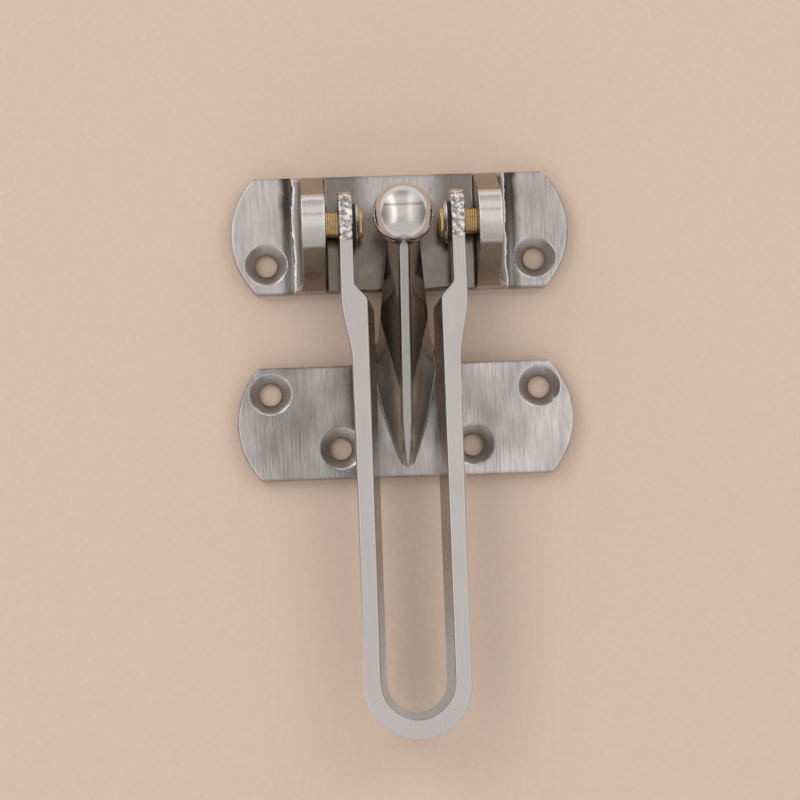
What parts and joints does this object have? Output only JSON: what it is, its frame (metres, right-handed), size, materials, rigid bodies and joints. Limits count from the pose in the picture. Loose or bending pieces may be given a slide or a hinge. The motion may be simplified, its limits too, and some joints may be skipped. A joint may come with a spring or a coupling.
{
  "type": "swing-bar door guard",
  "caption": "Door guard with a hinge bracket, a long slotted U-bar that swings on brass pivot pins, and a keeper plate whose ball runs in the bar's slot.",
  "frame": {"origin": "the point of the hinge bracket's mounting face under the middle of the pivot axis", "axes": "+X along the pivot axis, +Y from the bar's closed end to its pivot, +Z away from the door"},
  "size_m": [0.0622, 0.1031, 0.0255],
  "materials": {
    "satin_nickel": "satin, brushed along Y",
    "satin_nickel_bar": "satin, with hammered bright ears",
    "brass_pin": "turned",
    "bright_nickel": "bright",
    "dark_washer": "matt"
  },
  "bodies": {
    "bracket": {"hinge_bracket": "satin_nickel", "pivot_pin_left": "brass_pin", "pivot_pin_right": "brass_pin", "cup_washer_left": "bright_nickel", "cup_washer_right": "bright_nickel", "flat_washer_left": "dark_washer", "flat_washer_right": "dark_washer"},
    "bar": {"swing_bar": "satin_nickel_bar"},
    "keeper": {"keeper": "satin_nickel"}
  },
  "joints": [
    {"name": "bar_swing", "type": "hinge", "parent": "bracket", "child": "bar", "pos_m": [0, 0, 0.0095], "axis": [-1, 0, 0], "range_deg": [0, 180]},
    {"name": "keeper_travel", "type": "slide", "parent": "bracket", "child": "keeper", "axis": [0, -1, 0], "range_m": [0, 0.054]}
  ]
}
